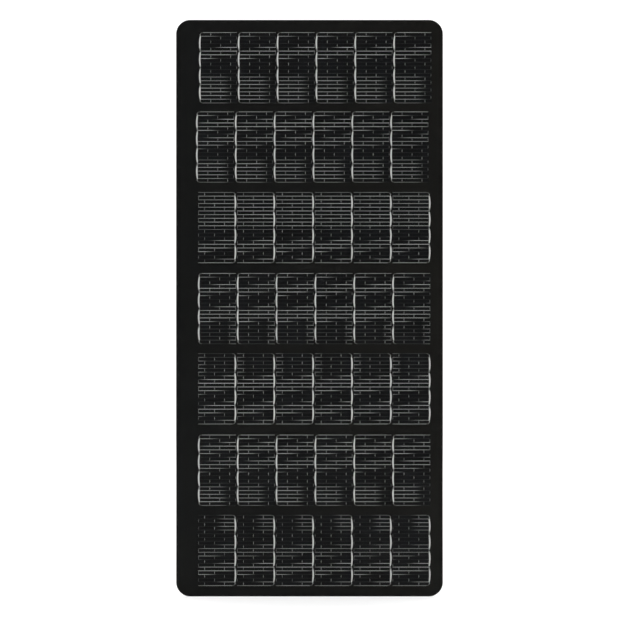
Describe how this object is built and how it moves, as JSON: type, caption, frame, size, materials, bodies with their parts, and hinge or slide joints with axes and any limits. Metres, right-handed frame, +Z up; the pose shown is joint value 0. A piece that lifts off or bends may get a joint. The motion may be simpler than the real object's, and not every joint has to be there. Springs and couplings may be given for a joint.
{
  "type": "flexible solar sheet",
  "caption": "Thin black flexible solar laminate, upright with round corners: rows of half-cut cells under silver wire grids, bending bands between rows, a flat junction box behind.",
  "frame": {"origin": "centre of the sheet on its rear face, behind the middle row", "axes": "the sheet stands upright: +Z up along its length, +X to the right as it is seen from the front, and the cells face -Y"},
  "size_m": [0.5854, 0.0194, 1.2654],
  "materials": {
    "clear_film": "clear satin weather film over black",
    "clear_gel": "clear encapsulant, dark where it lies on the black sheet",
    "cell": "textured monocrystalline silicon, black",
    "silver_wire": "bright tinned copper",
    "black_ribbon": "tinned copper with a black coat",
    "back_sheet": "black glass-fibre laminate with a fine weave",
    "box_plastic": "fine moulded texture",
    "bonding_foam": "dense adhesive foam",
    "seal_rubber": "matt silicone",
    "screw_steel": "turned stainless steel",
    "terminal_brass": "stamped brass",
    "diode_epoxy": "moulded epoxy"
  },
  "bodies": {
    "panel_1": {"front_film_1": "clear_film", "encapsulant_1": "clear_gel", "cells_1": "cell", "wire_grid_1": "silver_wire", "back_sheet_1": "back_sheet", "output_ribbons": "silver_wire", "box_pad": "bonding_foam", "box_base": "box_plastic", "box_lid": "box_plastic", "lid_seal": "seal_rubber", "lid_screws": "screw_steel", "terminal_plates": "terminal_brass", "terminal_screws": "screw_steel", "bypass_diode": "diode_epoxy", "gland_bodies": "box_plastic", "gland_seals": "seal_rubber", "gland_caps": "box_plastic", "flex_band_1": "back_sheet", "link_ribbons_1": "black_ribbon"},
    "panel_2": {"front_film_2": "clear_film", "encapsulant_2": "clear_gel", "cells_2": "cell", "wire_grid_2": "silver_wire", "back_sheet_2": "back_sheet", "flex_band_2": "back_sheet", "link_ribbons_2": "black_ribbon"},
    "panel_3": {"front_film_3": "clear_film", "encapsulant_3": "clear_gel", "cells_3": "cell", "wire_grid_3": "silver_wire", "back_sheet_3": "back_sheet", "flex_band_3": "back_sheet", "link_ribbons_3": "black_ribbon"},
    "panel_4": {"front_film_4": "clear_film", "encapsulant_4": "clear_gel", "cells_4": "cell", "wire_grid_4": "silver_wire", "back_sheet_4": "back_sheet"},
    "panel_5": {"front_film_5": "clear_film", "encapsulant_5": "clear_gel", "cells_5": "cell", "wire_grid_5": "silver_wire", "back_sheet_5": "back_sheet", "flex_band_4": "back_sheet", "link_ribbons_4": "black_ribbon"},
    "panel_6": {"front_film_6": "clear_film", "encapsulant_6": "clear_gel", "cells_6": "cell", "wire_grid_6": "silver_wire", "back_sheet_6": "back_sheet", "flex_band_5": "back_sheet", "link_ribbons_5": "black_ribbon"},
    "panel_7": {"front_film_7": "clear_film", "encapsulant_7": "clear_gel", "cells_7": "cell", "wire_grid_7": "silver_wire", "back_sheet_7": "back_sheet", "flex_band_6": "back_sheet", "link_ribbons_6": "black_ribbon"}
  },
  "joints": [
    {"name": "bend_1", "type": "hinge", "parent": "panel_2", "child": "panel_1", "pos_m": [0, -0.0013, 0.4405], "axis": [1, 0, 0], "range_deg": [-20, 20], "stiffness_Nm_per_rad": 9, "deforming": ["flex_band_1", "link_ribbons_1"]},
    {"name": "bend_2", "type": "hinge", "parent": "panel_3", "child": "panel_2", "pos_m": [0, -0.0013, 0.2639], "axis": [1, 0, 0], "range_deg": [-20, 20], "stiffness_Nm_per_rad": 9, "deforming": ["flex_band_2", "link_ribbons_2"]},
    {"name": "bend_3", "type": "hinge", "parent": "panel_4", "child": "panel_3", "pos_m": [0, -0.0013, 0.0873], "axis": [1, 0, 0], "range_deg": [-20, 20], "stiffness_Nm_per_rad": 9, "deforming": ["flex_band_3", "link_ribbons_3"]},
    {"name": "bend_4", "type": "hinge", "parent": "panel_4", "child": "panel_5", "pos_m": [0, -0.0013, -0.0893], "axis": [-1, 0, 0], "range_deg": [-20, 20], "stiffness_Nm_per_rad": 9, "deforming": ["flex_band_4", "link_ribbons_4"]},
    {"name": "bend_5", "type": "hinge", "parent": "panel_5", "child": "panel_6", "pos_m": [0, -0.0013, -0.2659], "axis": [-1, 0, 0], "range_deg": [-20, 20], "stiffness_Nm_per_rad": 9, "deforming": ["flex_band_5", "link_ribbons_5"]},
    {"name": "bend_6", "type": "hinge", "parent": "panel_6", "child": "panel_7", "pos_m": [0, -0.0013, -0.4425], "axis": [-1, 0, 0], "range_deg": [-20, 20], "stiffness_Nm_per_rad": 9, "deforming": ["flex_band_6", "link_ribbons_6"]}
  ]
}
